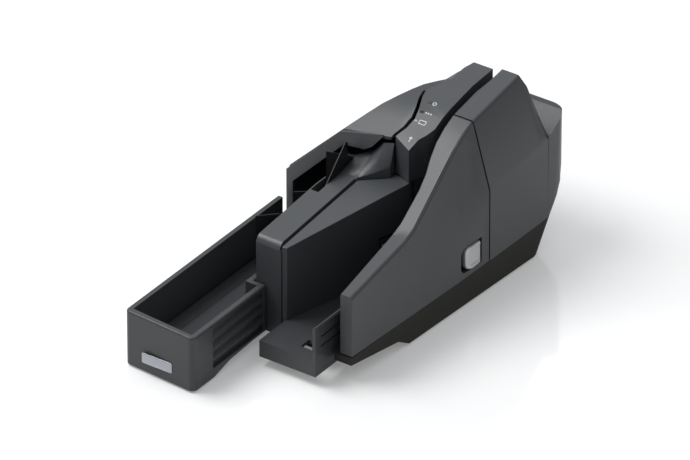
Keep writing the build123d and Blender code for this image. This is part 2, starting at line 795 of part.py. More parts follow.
def latch_lever():
    """Silver release lever: thumb face, bevelled front, bore for its pin."""
    x_out = side_wall_x(lever_rear) + 1.2
    plan = [
        (x_out - 5.6, lever_front + 1.5), (x_out - 2.6, lever_front), (x_out, lever_front + 5.5),
        (x_out, lever_rear - 2.6), (x_out - 2.6, lever_rear), (x_out - 7.0, lever_rear),
        (x_out - 7.0, lever_rear - 6.0),
    ]
    solid = prism_z(plan, lever_low, lever_high)
    return solid - pole(lever_pin_x, lever_pin_y, lever_pin_radius + running, 0, 80)


def lever_pin():
    """Pin fixed in the cover that the lever turns on."""
    return pole(lever_pin_x, lever_pin_y, lever_pin_radius, lever_low - 2.4, lever_high + 2.4)


# ---------------------------------------------------------------- rear housing and left cover
center_seam = island_left + 19.2
left_cover_edge = center_seam - 2.0
barrel_x = center_seam - 5.2
barrel_y = body_rear - 5.6
barrel_radius = 5.4
barrel_pin_radius = 1.5
barrel_low = 65.0
barrel_high = 98.0
ear_low = 74.5
ear_high = 85.5
panel_gap = 3.0


def rear_lump(inset):
    """Rear end with its raised rim; the deck in front of the rim slopes down to the towers."""
    low = seam_level(body_rear) + 0.1 if inset == 0 else 0.0
    outline = [
        (valley - 2.0 + inset, low - 8.0), (valley - 2.0 + inset, valley_height - 0.6 - inset),
        (valley, valley_height - inset), (rim, rim_height - inset), (body_rear, rim_height - 1.5 - inset),
        (body_rear, low - 8.0),
    ]
    left = center_seam if inset == 0 else 90.0
    return prism_x(outline, left, body_right) & casing_prism(inset)


def rear_housing():
    """Fixed right rear casing: tower beside the slot and the rounded rear end."""
    start = cover_seam + seam_gap
    outer = places_between(start, tower_rear, 4) + places_between(tower_rear, valley, 3)[1:]
    shell = right_form(outer, 0.0, rest_gap) + rear_lump(0.0)
    shell -= right_form([start + wall, scan_y, turn_center_y, tower_rear, valley - 2.6], wall, -3.0)
    shell -= rear_lump(wall)
    shell -= seam_prism(rest_gap, 0.0, 200.0)
    shell -= pole(barrel_x, barrel_y, barrel_radius + 1.4, 0.0, 200.0)
    ear = pole(barrel_x, barrel_y, barrel_radius - 0.4, ear_low, ear_high)
    ear += block((barrel_x, barrel_y - 3.0, ear_low), (center_seam + 4.0, body_rear - wall + 0.5, ear_high))
    shell += ear
    shell -= pole(barrel_x, barrel_y, barrel_pin_radius + running, 0.0, 200.0)
    shell = with_pinch_seat(shell, scan_y)
    play = 0.2
    return shell - block((island_right, sensor_y - 0.5 - play, path_floor),
                         (slot_right + 13.5, sensor_y + sensor_length - 0.5 + play, sensor_top + 1))


# y, inner end of the flat top, top height, shoulder x, shoulder height, height of the left wall
LEFT_STATIONS = [
    (block_rear - 1.0, island_left + 7.0, block_ramp_height + 32.0, block_left - 5.3, block_ramp_height + 23.6, 72.0),
    (cover_seam, island_left + 7.0, seam_height, 78.0, seam_height - 3.9, 66.0),
    (scan_y - 10.0, island_left + 7.0, seam_height + 2.0, 90.0, seam_height + 0.3, 61.0),
    (exit_y + 2.0, island_left + 11.0, seam_height - 2.0, 98.0, seam_height - 3.0, 56.6),
    (valley, island_left + 11.0, valley_height, 55.0, valley_height - 0.9, 50.0),
    (rim, island_left + 11.0, rim_height, 70.0, rim_height - 0.6, 45.7),
    (body_rear + 2.0, island_left + 11.0, rim_height - 1.5, 70.0, rim_height - 2.1, 44.2),
]


def left_section(y, inset, lift):
    """Cross-section of the left casing; its flank falls away towards the left wall."""
    _, flat, top, shoulder, shoulder_z, left_z = blend(LEFT_STATIONS, y)
    bottom = seam_level(y) + lift
    points = [
        (island_right, bottom), (island_right, top - inset), (flat, top - inset),
        (shoulder + 0.5 * inset, shoulder_z - 1.2 * inset), (body_left + inset, left_z - 0.5 * inset),
        (body_left + inset, bottom),
    ]
    return Plane.XZ.offset(-y) * Polygon(*points, align=None)


def left_form(places, inset, lift):
    """Ruled skin through the left casing's sections."""
    return loft([left_section(y, inset, lift) for y in places], ruled=True)


def left_cover():
    """Hinged cover of the left side, with its barrels at the rear."""
    outer = [block_rear, *places_between(entry_y - 8.0, valley, 9), rim, body_rear + 1.0]
    inner = [block_rear - 0.5, cover_seam, scan_y - 10.0, exit_y + 2.0, tower_rear + 4.0, valley, rim, body_rear + 1.5]
    shell = left_form(outer, 0.0, cover_bottom_gap) & casing_prism(0.0)
    shell -= left_form(inner, wall, -3.0) & casing_prism(wall)
    edge = [(x - panel_gap, y) for x, y in STRIP_LEFT]
    beyond = [(edge[0][0], block_front), *edge, (left_cover_edge, tower_rear), (left_cover_edge, body_rear + 1),
              (body_right, body_rear + 1), (body_right, block_front)]
    shell -= prism_z(beyond, 0.0, 300.0)
    for low, high in ((barrel_low, ear_low - 0.5), (ear_high + 0.5, barrel_high)):
        shell += pole(barrel_x, barrel_y, barrel_radius, low, high)
    shell -= block((barrel_x - 6.4, barrel_y - 8, ear_low - 0.5), (body_right, body_rear + 1, ear_high + 0.5))
    return shell - pole(barrel_x, barrel_y, barrel_pin_radius + running, 0.0, 200.0)


def left_hinge_pin():
    """Pin through the left cover's barrels and the housing's ear."""
    return pole(barrel_x, barrel_y, barrel_pin_radius, barrel_low + 1.0, barrel_high - 1.0)


# ---------------------------------------------------------------- inner works
def inner_frame():
    """Deck that carries the path, the motor and the guides."""
    plan = casing_prism(wall + 0.4) & seam_prism(0.0, 0.0, 200.0)
    deck = plan & block((0, block_rear + 0.3, deck_bottom), (body_right, body_rear, path_floor))
    deck += plan & block((platform_right + wall + 0.4, base_front + wall + 0.4, deck_bottom),
                         (body_right, block_rear + 1, path_floor))
    for x, y in roller_places().values():
        deck -= pole(x, y, shaft_radius + running, 0, 40)
    deck -= pole(motor_x, motor_y, shaft_radius + running, 0, 40)
    for x, y in screw_places:
        deck -= pole(x, y, 1.6, 0, 40)
    return deck


def deck_screws():
    """Pan-head screws that hold the deck to the posts."""
    screws = []
    for x, y in screw_places:
        head = pole(x, y, 2.9, path_floor, path_floor + 2.0)
        head = chamfer(head.edges().filter_by(GeomType.CIRCLE).sort_by(Axis.Z)[-1], 0.6)
        screws.append(head + pole(x, y, 1.4, 10.0, path_floor + 0.5))
    return Compound(screws)


def rubber_sleeve(x, y, radius):
    """Rubber sleeve of a driven roller."""
    return pole(x, y, radius, roller_low, roller_high) - pole(x, y, shaft_radius, 0, 90)


def drive_shaft(x, y):
    """Steel shaft with its toothless belt pulley."""
    shaft = pole(x, y, shaft_radius, pulley_low, 65.0)
    return shaft + pole(x, y, pulley_radius, pulley_low, pulley_high)


def motor_pulley():
    """Motor shaft with its pulley."""
    shaft = pole(motor_x, motor_y, shaft_radius, pulley_low, 29.0)
    return shaft + pole(motor_x, motor_y, pulley_radius, pulley_low, pulley_high)


def drive_motor():
    """Upright can motor standing on the deck."""
    can = pole(motor_x, motor_y, motor_radius, path_floor, path_floor + motor_height)
    can = chamfer(can.edges().filter_by(GeomType.CIRCLE).sort_by(Axis.Z)[-1], 1.5)
    return can - pole(motor_x, motor_y, shaft_radius + running, 0, 30.0)


def belt_centres():
    """Axes of all the pulleys, in the order the belt passes them."""
    places = roller_places()
    return [pickup_place(), places["entry"], places["scan"], places["exit"], (motor_x, motor_y)]


def belt_room():
    """Space kept free round the belt wherever it passes through a wall."""
    loop = Polygon(*belt_centres(), align=None)
    room = offset(loop, pulley_radius + 3.0, kind=Kind.ARC) - offset(loop, pulley_radius - 1.5, kind=Kind.ARC)
    return upright(room, pulley_low - 1.0, deck_bottom)


def drive_belt():
    """Flat belt round all the pulleys."""
    loop = Polygon(*belt_centres(), align=None)
    outside = offset(loop, pulley_radius + 1.5, kind=Kind.ARC)
    inside = offset(loop, pulley_radius + 0.3, kind=Kind.ARC)
    return upright(outside - inside, pulley_low + 1.0, pulley_high - 1.0)


def image_sensor_front():
    """Upright contact image sensor in the island."""
    return block((island_right - 10.8, sensor_y, path_floor + 1.2),
                 (island_right + 0.4, sensor_y + sensor_length, sensor_top))


def image_sensor_rear():
    """Upright contact image sensor facing it, in the rear housing."""
    return block((slot_right - 0.3, sensor_y - 0.5, path_floor + 0.3),
                 (slot_right + 10.5, sensor_y + sensor_length - 0.5, sensor_top))


def magnetic_head():
    """Read head for the magnetic line near the bottom of the sheet."""
    return block((island_right - 9.8, head_y, path_floor + 1.2), (island_right + 0.8, head_y + head_length, head_top))


def ink_cartridge():
    """Small stamp cartridge behind the exit wall."""
    wall_face = island_left - slot_width - guide_thickness
    body = block((wall_face - 25.0, island_bend + 5.0, path_floor + 0.2), (wall_face - 0.4, scan_y - 1.0, 60.0))
    return chamfer(body.edges().filter_by(Axis.Z), 1.5)


def circuit_board():
    """Main board on its posts, with a few tall components."""
    rear = board_front + board_size
    board = block((board_left, board_front, board_level), (board_left + board_size, rear, board_level + 1.6))
    for across, along, size in ((16.0, 20.0, 12.0), (42.0, 32.0, 16.0), (64.0, 16.0, 8.0), (22.0, 52.0, 10.0)):
        x = board_left + across
        y = board_front + along
        board += block((x - size / 2, y - size / 2, board_level + 1), (x + size / 2, y + size / 2, board_level + 3.2))
    return board


def socket(x, width, mouth_height, depth):
    """Connector body with an open mouth to the rear."""
    body = block((x - width / 2, socket_face - 12.0, 4.0), (x + width / 2, socket_face - 2.5, 18.5))
    body += block((x - width / 2, socket_face - 12.0, 7.5), (x + width / 2, socket_face, 18.5))
    centre = 13.0
    mouth = block((x - width / 2 + 1.8, socket_face - depth, centre - mouth_height / 2),
                  (x + width / 2 - 1.8, socket_face + 1, centre + mouth_height / 2))
    return body - mouth


def build_parts():
    """Every node of the scanner, by name."""
    places = roller_places()
    pick_x, pick_y = pickup_place()
    pinch_out_x, pinch_out_y = exit_pinch_place()
    parts = {
        "base_case": base_case(),
        "rubber_feet": rubber_feet(),
        "pocket_tray": pocket_tray(),
        "pocket_ramp": pocket_ramp(),
        "blank_badge": blank_badge(),
        "central_block": central_block(),
        "hopper_guide": hopper_guide(),
        "exit_flaps": exit_flaps(),
        "exit_hood": exit_hood(),
        "feeder_tray": feeder_tray(),
        "pusher_paddle": pusher_paddle(),
        "island_guide": island_guide(),
        "turn_guide": turn_guide(),
        "control_panel": control_panel(),
        "lamp_windows": lamp_windows(),
        "right_front_cover": right_front_cover(),
        "cover_hinge_pin": cover_hinge_pin(),
        "latch_lever": latch_lever(),
        "lever_pin": lever_pin(),
        "rear_housing": rear_housing(),
        "left_cover": left_cover(),
        "left_hinge_pin": left_hinge_pin(),
        "inner_frame": inner_frame(),
        "deck_screws": deck_screws(),
        "pickup_roller": rubber_sleeve(pick_x, pick_y, pickup_radius),
        "pickup_shaft": drive_shaft(pick_x, pick_y),
        "motor_pulley": motor_pulley(),
        "drive_motor": drive_motor(),
        "drive_belt": drive_belt(),
        "front_pinch_roller": pinch_roller(pinch_x, entry_y),
        "rear_pinch_roller": pinch_roller(pinch_x, scan_y),
        "exit_pinch_roller": pinch_roller(pinch_out_x, pinch_out_y),
        "front_image_sensor": image_sensor_front(),
        "rear_image_sensor": image_sensor_rear(),
        "magnetic_head": magnetic_head(),
        "ink_cartridge": ink_cartridge(),
        "circuit_board": circuit_board(),
        "power_inlet": socket(inlet_x, 12.0, 8.0, 9.0),
        "data_socket": socket(data_socket_x, 13.0, 9.5, 8.0),
    }
    for name, (x, y) in places.items():
        parts[name + "_roller"] = rubber_sleeve(x, y, drive_radius)
        parts[name + "_shaft"] = drive_shaft(x, y)
    return parts


middle_x = body_right / 2
middle_y = (body_rear - pocket_slant) / 2
parts = build_parts()
for name, solid in parts.items():
    export_step(Pos(-middle_x, -middle_y, 0) * solid, "parts/" + name + ".step")
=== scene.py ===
import json
import math
import bpy
import numpy as np
from mathutils import Matrix


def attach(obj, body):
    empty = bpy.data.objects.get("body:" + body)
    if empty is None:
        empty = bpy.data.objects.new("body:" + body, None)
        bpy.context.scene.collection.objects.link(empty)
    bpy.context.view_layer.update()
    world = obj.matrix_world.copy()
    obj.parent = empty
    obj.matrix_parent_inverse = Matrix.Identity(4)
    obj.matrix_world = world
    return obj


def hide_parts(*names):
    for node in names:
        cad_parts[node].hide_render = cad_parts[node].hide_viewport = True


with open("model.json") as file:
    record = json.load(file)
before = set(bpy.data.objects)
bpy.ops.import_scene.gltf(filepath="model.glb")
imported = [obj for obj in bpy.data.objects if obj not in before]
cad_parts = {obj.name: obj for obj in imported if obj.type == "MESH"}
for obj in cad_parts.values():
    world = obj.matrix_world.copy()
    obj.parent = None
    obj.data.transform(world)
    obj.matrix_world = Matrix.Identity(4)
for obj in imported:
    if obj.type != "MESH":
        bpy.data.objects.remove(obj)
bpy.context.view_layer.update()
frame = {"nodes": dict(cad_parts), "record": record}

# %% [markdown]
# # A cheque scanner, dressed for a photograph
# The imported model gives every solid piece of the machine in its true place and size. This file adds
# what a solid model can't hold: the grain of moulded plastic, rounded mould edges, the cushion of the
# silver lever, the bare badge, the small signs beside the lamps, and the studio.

scene = bpy.context.scene
scene.view_settings.view_transform = "Standard"
nodes = frame["nodes"]
millimetre = 0.001

# %% [markdown]
# ## Camera
# Upright edges stay parallel in the photograph and edges that run away from us hardly converge, so it
# was taken from far away with a long lens. A perspective camera with a 500 mm lens, several metres
# off, gives the same look. It stands 35 degrees to the right of the front and 32 degrees up. The aim
# point is worked out from one measured fact: where the centre of the footprint falls in the frame.

# %% Camera at the photograph's angle
frame_width = 690
frame_height = 460
pixels_per_metre = 1280.0
lens = 500.0
film_width = 36.0
azimuth = math.radians(35.0)
elevation = math.radians(32.0)
flat_reach = math.cos(elevation)
to_camera = np.array([math.sin(azimuth) * flat_reach, -math.cos(azimuth) * flat_reach, math.sin(elevation)])
right = np.array([math.cos(azimuth), math.sin(azimuth), 0.0])
up = np.cross(to_camera, right)
foot_pixel_x = 347.8
foot_pixel_y = 298.1
aim_right = (frame_width / 2 - foot_pixel_x) / pixels_per_metre
aim_up = (foot_pixel_y - frame_height / 2) / pixels_per_metre
aim = aim_right * right + aim_up * up
distance = lens / film_width * frame_width / pixels_per_metre

camera_data = bpy.data.cameras.new("camera")
camera_data.lens = lens
camera_data.sensor_width = film_width
camera_data.clip_start = 0.5
camera_data.clip_end = 60.0
camera = bpy.data.objects.new("camera", camera_data)
scene.collection.objects.link(camera)
camera_pose = np.identity(4)
camera_pose[:3, :3] = np.column_stack([right, up, to_camera])
camera_pose[:3, 3] = aim + distance * to_camera
camera.matrix_world = Matrix(camera_pose.tolist())
scene.camera = camera
print("camera", round(distance, 2), "m away")

# %% [markdown]
# ## Floor and light
# The scanner stands on a white, slightly glossy sheet that shows a faint mirror image. The sheet is a
# large plane with a little gloss. A small glow lifts it to white. Only the camera, mirrors and glass
# can see that glow, so it doesn't light matt surfaces. The light is soft: a pale sky that is brighter
# overhead than at the horizon, so tops read lighter than sides, one wide lamp high in front on the
# left, which the sloping tops mirror, and a weaker one behind the machine.

# %% Helpers for node materials
def new_material(name):
    """An empty node material with a Principled shader on its output."""
    material = bpy.data.materials.new(name)
    material.use_nodes = True
    tree = material.node_tree
    tree.nodes.clear()
    output = tree.nodes.new("ShaderNodeOutputMaterial")
    shader = tree.nodes.new("ShaderNodeBsdfPrincipled")
    tree.links.new(shader.outputs["BSDF"], output.inputs["Surface"])
    return material, tree, shader, output


# %% White sheet
def flat_sheet(name, half, height):
    """A square of four corners at one height, facing up."""
    corners = [(-half, -half, height), (half, -half, height), (half, half, height), (-half, half, height)]
    mesh = bpy.data.meshes.new(name)
    mesh.from_pydata(corners, [], [(0, 1, 2, 3)])
    sheet = bpy.data.objects.new(name, mesh)
    scene.collection.objects.link(sheet)
    return sheet


sheet_half = 8.0
gap_below_feet = 0.0002
sheet_grey = 0.80
sheet_glow = 0.20

floor = flat_sheet("floor", sheet_half, -gap_below_feet)
sheet_paint, tree, shader, output = new_material("white_sheet")
shader.inputs["Base Color"].default_value = (sheet_grey, sheet_grey, sheet_grey, 1)
shader.inputs["Roughness"].default_value = 0.10
shader.inputs["IOR"].default_value = 1.8
rays = tree.nodes.new("ShaderNodeLightPath")
seen = tree.nodes.new("ShaderNodeMath")
seen.operation = "MAXIMUM"
seen_all = tree.nodes.new("ShaderNodeMath")
seen_all.operation = "MAXIMUM"
tree.links.new(rays.outputs["Is Camera Ray"], seen.inputs[0])
tree.links.new(rays.outputs["Is Glossy Ray"], seen.inputs[1])
tree.links.new(seen.outputs[0], seen_all.inputs[0])
tree.links.new(rays.outputs["Is Transmission Ray"], seen_all.inputs[1])
strength = tree.nodes.new("ShaderNodeMath")
strength.operation = "MULTIPLY"
strength.inputs[1].default_value = sheet_glow
tree.links.new(seen_all.outputs[0], strength.inputs[0])
glow = tree.nodes.new("ShaderNodeEmission")
glow.inputs["Color"].default_value = (1, 1, 1, 1)
tree.links.new(strength.outputs[0], glow.inputs["Strength"])
both = tree.nodes.new("ShaderNodeAddShader")
tree.links.new(shader.outputs["BSDF"], both.inputs[0])
tree.links.new(glow.outputs[0], both.inputs[1])
tree.links.new(both.outputs[0], output.inputs["Surface"])
floor.data.materials.append(sheet_paint)

# %% Sky and lamps
world = bpy.data.worlds.new("studio")
scene.world = world
world.use_nodes = True
sky = world.node_tree.nodes["Background"]
sky.inputs["Color"].default_value = (0.96, 0.985, 1.0, 1)
direction = world.node_tree.nodes.new("ShaderNodeTexCoord")
split = world.node_tree.nodes.new("ShaderNodeSeparateXYZ")
rise = world.node_tree.nodes.new("ShaderNodeMapRange")
rise.inputs["From Min"].default_value = 0.05
rise.inputs["From Max"].default_value = 0.75
rise.inputs["To Min"].default_value = 0.20
rise.inputs["To Max"].default_value = 0.64
world.node_tree.links.new(direction.outputs["Generated"], split.inputs["Vector"])
world.node_tree.links.new(split.outputs["Z"], rise.inputs["Value"])
world.node_tree.links.new(rise.outputs["Result"], sky.inputs["Strength"])


def soft_lamp(name, place, look_at, size, power):
    """A rectangular area lamp that faces a point."""
    data = bpy.data.lights.new(name, "AREA")
    data.shape = "RECTANGLE"
    data.size, data.size_y = size
    data.energy = power
    lamp = bpy.data.objects.new(name, data)
    scene.collection.objects.link(lamp)
    back = np.array(place) - np.array(look_at)
    back = back / np.linalg.norm(back)
    side = np.cross((0.0, 0.0, 1.0), back)
    side = side / np.linalg.norm(side)
    pose = np.identity(4)
    pose[:3, :3] = np.column_stack([side, np.cross(back, side), back])
    pose[:3, 3] = place
    lamp.matrix_world = Matrix(pose.tolist())


machine_middle = (0, 0, 0.05)
soft_lamp("high_lamp", (-0.76, -0.32, 1.36), machine_middle, (0.9, 0.9), 20.0)
soft_lamp("back_lamp", (-0.5, 1.0, 1.3), machine_middle, (1.2, 1.0), 3.0)
print("two lamps and a sky")

# %% [markdown]
# ## Moulded plastic
# The casing is injection-moulded plastic with a fine spark-eroded grain. Close up it is a field of
# tiny pits a few tenths of a millimetre wide; far away the pits only soften the gloss. Two noises do
# it: a very fine one that bumps the surface, and a broad, faint one that shifts the roughness and the
# tint a little, as handling does. Both read Object coordinates, so they stay on the piece as it moves.
# One function makes every plastic, rubber and glass of the machine from its colour and roughness.

# %% Grained plastic
def grained_plastic(name, colour, roughness, grain=2600.0, depth=0.35, level=0.5):
    """Plastic whose bump is one fine noise and whose roughness and colour drift with one broad noise."""
    material, tree, shader, output = new_material(name)
    place = tree.nodes.new("ShaderNodeTexCoord")
    fine = tree.nodes.new("ShaderNodeTexNoise")
    fine.inputs["Scale"].default_value = grain
    fine.inputs["Detail"].default_value = 2.0
    broad = tree.nodes.new("ShaderNodeTexNoise")
    broad.inputs["Scale"].default_value = 22.0
    broad.inputs["Detail"].default_value = 3.0
    for noise in (fine, broad):
        tree.links.new(place.outputs["Object"], noise.inputs["Vector"])
    bump = tree.nodes.new("ShaderNodeBump")
    bump.inputs["Strength"].default_value = depth
    bump.inputs["Distance"].default_value = 0.12 * millimetre
    tree.links.new(fine.outputs["Fac"], bump.inputs["Height"])
    tree.links.new(bump.outputs["Normal"], shader.inputs["Normal"])
    rough = tree.nodes.new("ShaderNodeMapRange")
    rough.inputs["To Min"].default_value = roughness - 0.05
    rough.inputs["To Max"].default_value = roughness + 0.05
    tree.links.new(broad.outputs["Fac"], rough.inputs["Value"])
    tree.links.new(rough.outputs["Result"], shader.inputs["Roughness"])
    tint = tree.nodes.new("ShaderNodeMix")
    tint.data_type = "RGBA"
    tint.inputs["A"].default_value = (*[c * 0.93 for c in colour], 1)
    tint.inputs["B"].default_value = (*[min(1.0, c * 1.07) for c in colour], 1)
    tree.links.new(broad.outputs["Fac"], tint.inputs["Factor"])
    tree.links.new(tint.outputs["Result"], shader.inputs["Base Color"])
    shader.inputs["Specular IOR Level"].default_value = level
    return material


casing_finish = grained_plastic("casing_finish", (0.044, 0.0475, 0.0525), 0.42, level=0.5)
# Painted shade: the trays' finish is the casing plastic a little darker and with less sheen, for the shade
# the trays lie in.
tray_painted_shade_finish = grained_plastic("tray_painted_shade_finish", (0.038, 0.041, 0.0445), 0.42, level=0.45)
base_finish = grained_plastic("base_finish", (0.0205, 0.0202, 0.0162), 0.55, level=0.22)
black_finish = grained_plastic("black_finish", (0.013, 0.013, 0.014), 0.38, depth=0.2)
guide_finish = grained_plastic("guide_finish", (0.018, 0.018, 0.019), 0.45, depth=0.2)
film_finish = grained_plastic("film_finish", (0.010, 0.010, 0.011), 0.38, depth=0.05, level=0.3)
rubber_finish = grained_plastic(
    "rubber_finish", (0.012, 0.012, 0.012), 0.75, grain=1500.0, depth=0.5, level=0.3)
white_finish = grained_plastic("white_finish", (0.62, 0.62, 0.60), 0.4, depth=0.1)
lens_finish = grained_plastic("lens_finish", (0.02, 0.026, 0.024), 0.12, depth=0.0)
sensor_finish = grained_plastic("sensor_finish", (0.015, 0.017, 0.02), 0.15, depth=0.0)


# %% [markdown]
# ## Metal
# Shafts, the motor's can, the sockets' shells and the badge are drawn, turned or rolled, which leaves
# marks along one direction. A single noise drives the roughness and a very shallow bump. The mapping
# squeezes it along one axis, so that its spots become thin marks across that axis.

# %% Worked metal
def worked_metal(name, colour, roughness, squeeze=(1.0, 1.0, 40.0)):
    """Metal with fine marks: a noise squeezed along one axis drives roughness and a shallow bump."""
    material, tree, shader, output = new_material(name)
    place = tree.nodes.new("ShaderNodeTexCoord")
    turn = tree.nodes.new("ShaderNodeMapping")
    turn.inputs["Scale"].default_value = squeeze
    marks = tree.nodes.new("ShaderNodeTexNoise")
    marks.inputs["Scale"].default_value = 60.0
    marks.inputs["Detail"].default_value = 4.0
    tree.links.new(place.outputs["Object"], turn.inputs["Vector"])
    tree.links.new(turn.outputs["Vector"], marks.inputs["Vector"])
    rough = tree.nodes.new("ShaderNodeMapRange")
    rough.inputs["To Min"].default_value = roughness - 0.06
    rough.inputs["To Max"].default_value = roughness + 0.08
    tree.links.new(marks.outputs["Fac"], rough.inputs["Value"])
    tree.links.new(rough.outputs["Result"], shader.inputs["Roughness"])
    bump = tree.nodes.new("ShaderNodeBump")
    bump.inputs["Strength"].default_value = 0.15
    bump.inputs["Distance"].default_value = 0.05 * millimetre
    tree.links.new(marks.outputs["Fac"], bump.inputs["Height"])
    tree.links.new(bump.outputs["Normal"], shader.inputs["Normal"])
    shader.inputs["Base Color"].default_value = (*colour, 1)
    shader.inputs["Metallic"].default_value = 1.0
    return material


steel_finish = worked_metal("steel_finish", (0.56, 0.56, 0.57), 0.28)
badge_finish = worked_metal("badge_finish", (0.36, 0.365, 0.40), 0.34, squeeze=(30.0, 1.0, 1.0))
motor_finish = worked_metal("motor_finish", (0.42, 0.43, 0.44), 0.35)
plated_finish = worked_metal("plated_finish", (0.5, 0.5, 0.5), 0.3)


# %% [markdown]
# ## Silver paint and the green board
# The lever is plastic under silver paint, so it is only half a metal: its flakes are a noise far finer
# than a pixel, which spreads the tint. The circuit board inside is a green plastic with a coarser grain.

# %% Silver lever and green board
def silver_paint(name, colour):
    """Silver-painted plastic: a mid-gloss base whose flakes are a very fine noise in the colour."""
    material, tree, shader, output = new_material(name)
    place = tree.nodes.new("ShaderNodeTexCoord")
    flakes = tree.nodes.new("ShaderNodeTexNoise")
    flakes.inputs["Scale"].default_value = 5000.0
    tree.links.new(place.outputs["Object"], flakes.inputs["Vector"])
    tint = tree.nodes.new("ShaderNodeMix")
    tint.data_type = "RGBA"
    tint.inputs["A"].default_value = (*[c * 0.85 for c in colour], 1)
    tint.inputs["B"].default_value = (*[c * 1.15 for c in colour], 1)
    tree.links.new(flakes.outputs["Fac"], tint.inputs["Factor"])
    tree.links.new(tint.outputs["Result"], shader.inputs["Base Color"])
    shader.inputs["Metallic"].default_value = 0.45
    shader.inputs["Roughness"].default_value = 0.36
    return material


silver_finish = silver_paint("silver_finish", (0.54, 0.545, 0.55))
board_finish = grained_plastic("board_finish", (0.02, 0.10, 0.05), 0.3, grain=900.0, depth=0.1)

# %% [markdown]
# ## Which finish goes on which piece
# The imported record names a material slot for every node, so one table from slot to finish dresses
# the whole machine, and no node is forgotten. A second, short table gives three pieces a darker copy of
# the casing plastic as painted shade: both trays and the pocket's sloping floor.

# %% Dress the nodes
finish_of_slot = {
    "casing_plastic": casing_finish, "base_plastic": base_finish, "black_plastic": black_finish,
    "guide_plastic": guide_finish, "flap_film": film_finish, "badge_metal": badge_finish,
    "lamp_window": lens_finish, "lever_silver": silver_finish, "steel": steel_finish,
    "roller_rubber": rubber_finish, "foot_rubber": rubber_finish, "white_plastic": white_finish,
    "motor_can": motor_finish, "sensor_glass": sensor_finish, "board_green": board_finish,
    "socket_metal": plated_finish,
}
# Painted shade: both trays and the pocket's sloping floor get the darker copy of the casing plastic.
painted_shade_of_piece = {"pocket_tray": tray_painted_shade_finish, "feeder_tray": tray_painted_shade_finish, "pocket_ramp": tray_painted_shade_finish}
for part in frame["record"]["subparts"]:
    mesh = nodes[part["node"]].data
    mesh.materials.clear()
    mesh.materials.append(painted_shade_of_piece.get(part["node"], finish_of_slot[part["material_slot"]]))

# %% [markdown]
# ## Rounded mould edges
# No moulded edge is a knife edge. The solid model leaves most of them sharp, so each of the larger
# nodes gets four modifiers: Weld joins its loose triangles, Decimate joins those that lie almost in one
# plane, Bevel rounds every edge that turns by more than a set angle, and Weighted Normal lets the
# large faces set the shading, so that broad curves read as smooth and flat walls as flat. The left
# cover is curved all over, so only facets within one degree are joined there.

# %% Soften the edges
def soften(name, radius, flatness, angle=28.0, segments=3):
    """Weld, join facets within the flatness in degrees, round each edge that turns by more than the
    angle, then shade smooth."""
    node = nodes[name]
    weld = node.modifiers.new("weld", "WELD")
    weld.merge_threshold = 0.01 * millimetre
    flat = node.modifiers.new("flat", "DECIMATE")
    flat.decimate_type = "DISSOLVE"
    flat.angle_limit = math.radians(flatness)
    bevel = node.modifiers.new("round", "BEVEL")
    bevel.width = radius
    bevel.segments = segments
    bevel.limit_method = "ANGLE"
    bevel.angle_limit = math.radians(angle)
    even = node.modifiers.new("even", "WEIGHTED_NORMAL")
    even.mode = "FACE_AREA_WITH_ANGLE"
    node.data.polygons.foreach_set("use_smooth", np.ones(len(node.data.polygons), bool))
    node.data.update()


usual_flatness = 4.0
finer_flatness = {"left_cover": 1.0}
edge_radius = {
    "right_front_cover": 0.0016, "rear_housing": 0.0012, "left_cover": 0.0012, "control_panel": 0.0012,
    "exit_hood": 0.0008, "central_block": 0.0010, "hopper_guide": 0.0008, "base_case": 0.0006,
    "pocket_tray": 0.0006, "feeder_tray": 0.0005, "pocket_ramp": 0.0004, "pusher_paddle": 0.0003,
    "turn_guide": 0.0003, "island_guide": 0.0003, "power_inlet": 0.0003, "ink_cartridge": 0.0004,
}
for name, radius in edge_radius.items():
    soften(name, radius, finer_flatness.get(name, usual_flatness))
print("softened", len(edge_radius), "nodes")

# %% [markdown]
# ## Silver latch lever
# The lever in the right cover is a small silver cushion: raised rims above and below, a shallow dish
# for a finger, and a front end that falls away into the cover. It is one closed surface made of
# rings. Each ring is a rounded rectangle, a superellipse with exponent 5, drawn round the lever's
# middle at its own scale and depth; the first and the last ring shrink almost to a point. Afterwards
# every point beyond the two lines where the ends fall away moves inwards: by about half of how far
# it lies past the front line, and by all of it past the rear line.

# %% Lever made of rings
def points_of(name):
    """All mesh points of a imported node, as rows of x, y, z."""
    mesh = nodes[name].data
    flat = np.empty(len(mesh.vertices) * 3)
    mesh.vertices.foreach_get("co", flat)
    return flat.reshape(-1, 3)


def add_piece(name, points, faces, finish, body):
    """Put a finished mesh into the scene, smooth, dressed, and tied to its body."""
    mesh = bpy.data.meshes.new(name)
    mesh.from_pydata(points.tolist(), [], faces.tolist())
    mesh.polygons.foreach_set("use_smooth", np.ones(len(mesh.polygons), bool))
    mesh.materials.append(finish)
    mesh.update()
    piece = bpy.data.objects.new(name, mesh)
    scene.collection.objects.link(piece)
    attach(piece, body)
    return piece


def ring_faces(rings, around):
    """Quads between neighbouring rings of equal length, each ring closed on itself."""
    row = np.arange(rings - 1)[:, None] * around
    column = np.arange(around)[None, :]
    after = (column + 1) % around
    corners = [row + column, row + after, row + around + after, row + around + column]
    return np.stack(np.broadcast_arrays(*corners), axis=-1).reshape(-1, 4)


points_around = 96
turn_round = np.linspace(0, 2 * np.pi, points_around, endpoint=False)


def superellipse(exponent):
    """A rounded rectangle of half size one: sign(cos t) |cos t| ^ (2 / exponent) across, and the same
    of sin t upwards, as t goes once round."""
    share = 2 / exponent
    across = np.sign(np.cos(turn_round)) * np.abs(np.cos(turn_round)) ** share
    upward = np.sign(np.sin(turn_round)) * np.abs(np.sin(turn_round)) ** share
    return across, upward


